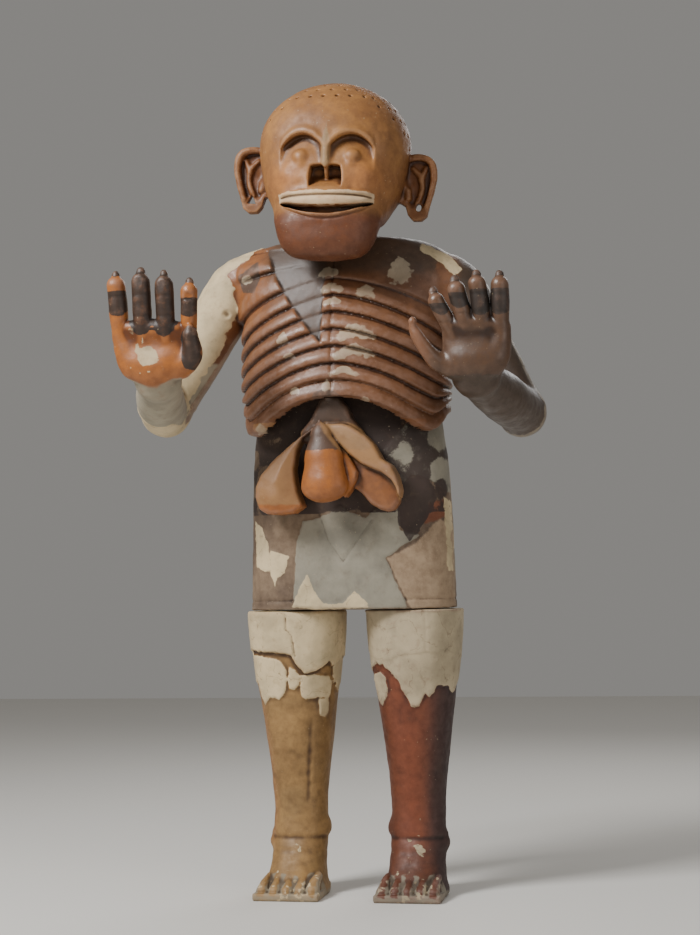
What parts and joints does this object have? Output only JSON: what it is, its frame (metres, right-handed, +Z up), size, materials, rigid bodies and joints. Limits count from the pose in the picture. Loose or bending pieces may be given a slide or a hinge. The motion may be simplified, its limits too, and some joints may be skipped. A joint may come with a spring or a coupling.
{
  "type": "ceramic death god statue",
  "caption": "Life-size fired clay figure of a half-skeletal god: bald head, open mouth, bare ribs over a hanging liver, raised open hands, two bare feet on thin slabs.",
  "frame": {"origin": "on the ground, under the middle of the figure's bounding box", "axes": "+Z up, the figure faces -Y, its left hand is on the +X side"},
  "size_m": [0.9084, 0.5094, 1.7598],
  "materials": {
    "head_clay": "satin orange-brown fired clay",
    "chest_clay": "burnished dark brown fired clay with lime coat left in places",
    "trunk_clay": "matt fired clay under grey repair and lime coat",
    "right_leg_clay": "matt ochre fired clay with a lime coat on the thigh",
    "left_leg_clay": "matt red-brown fired clay with a lime coat on the thigh"
  },
  "bodies": {
    "root": {"head": "head_clay", "chest_and_arms": "chest_clay", "lower_trunk": "trunk_clay", "right_leg": "right_leg_clay", "left_leg": "left_leg_clay"}
  },
  "joints": []
}
